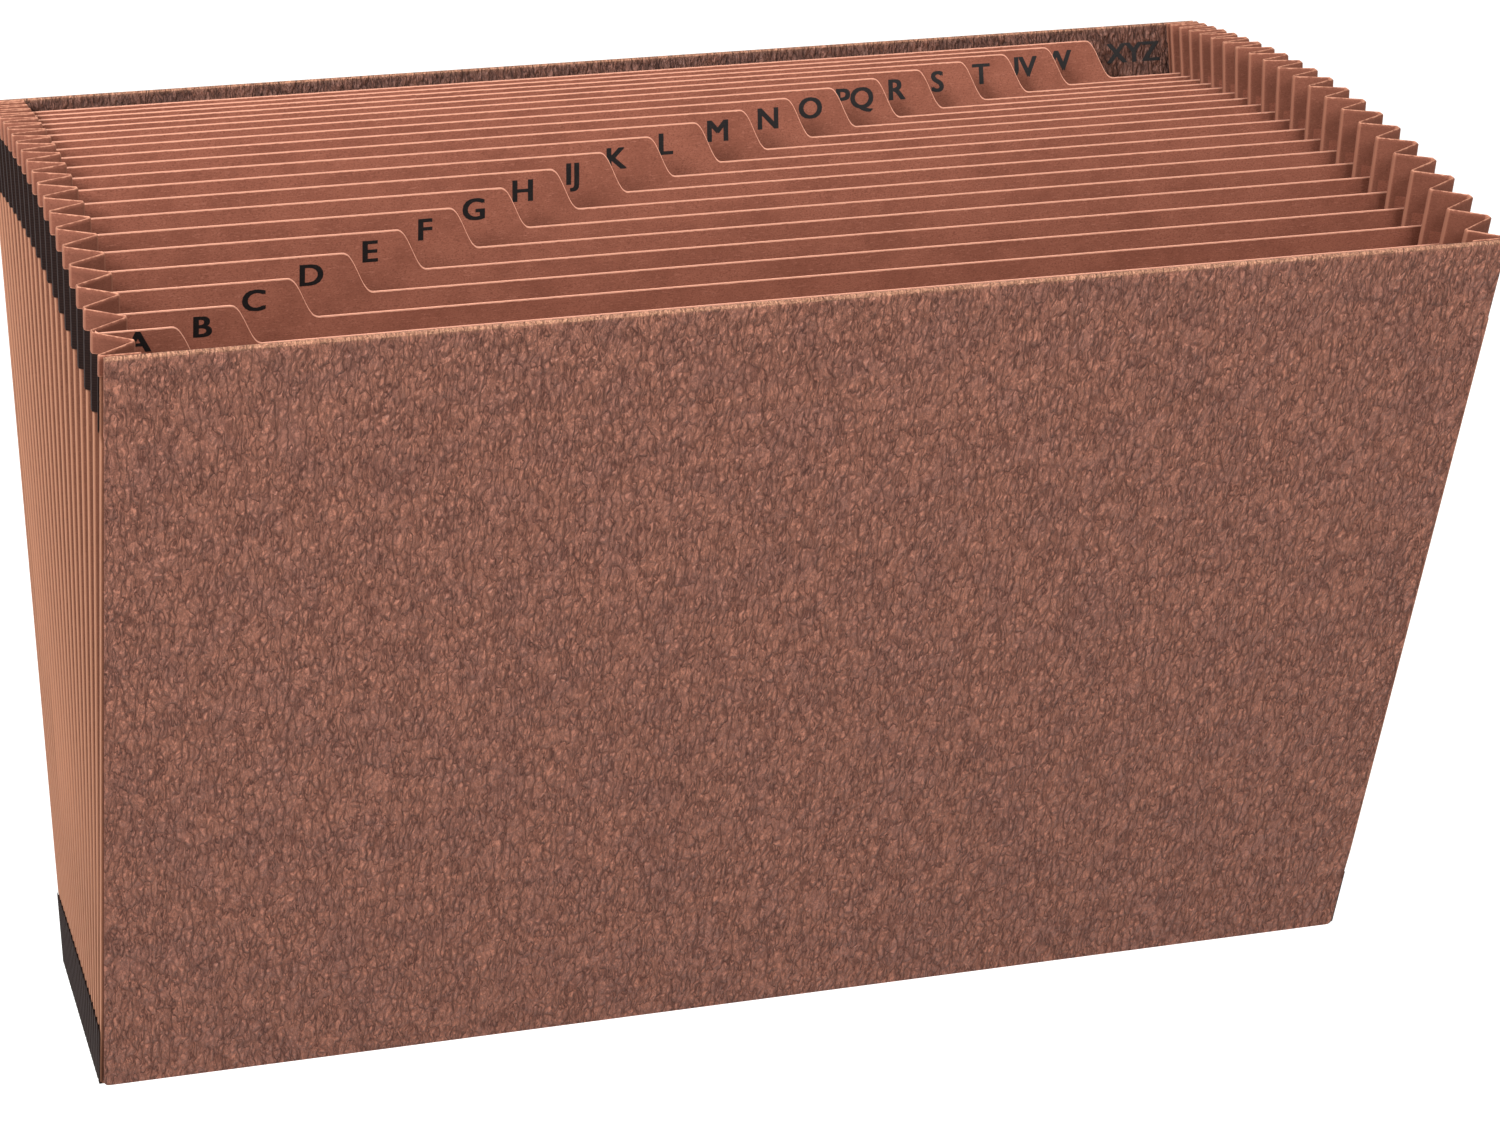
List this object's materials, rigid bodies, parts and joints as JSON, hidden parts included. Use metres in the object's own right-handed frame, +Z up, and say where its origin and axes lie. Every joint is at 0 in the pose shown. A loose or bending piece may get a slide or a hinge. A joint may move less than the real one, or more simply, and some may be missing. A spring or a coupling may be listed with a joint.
{
  "type": "expanding file",
  "caption": "Open-top accordion file of red-brown paper with stepped index dividers between leather-grained covers, standing fanned open.",
  "frame": {"origin": "on the surface that the file stands on, under the middle of the whole file", "axes": "+X to the right along the covers, +Y to the back cover, +Z up"},
  "size_m": [0.3814, 0.223, 0.2565],
  "materials": {
    "cover": "leather-grained, satin",
    "divider": "matt red-brown paper with fine fibres",
    "gusset": "matt red-brown paper with fine fibres",
    "tape": "dark woven tape"
  },
  "bodies": {
    "root": {"front_cover": "cover", "back_cover": "cover", "divider_a": "divider", "divider_b": "divider", "divider_c": "divider", "divider_d": "divider", "divider_e": "divider", "divider_f": "divider", "divider_g": "divider", "divider_h": "divider", "divider_ij": "divider", "divider_k": "divider", "divider_l": "divider", "divider_m": "divider", "divider_n": "divider", "divider_o": "divider", "divider_pq": "divider", "divider_r": "divider", "divider_s": "divider", "divider_t": "divider", "divider_uv": "divider", "divider_w": "divider", "left_gusset": "gusset", "left_top_tape": "tape", "left_corner_tape": "tape", "right_gusset": "gusset", "right_top_tape": "tape", "right_corner_tape": "tape", "bottom_gusset": "gusset"}
  },
  "joints": []
}
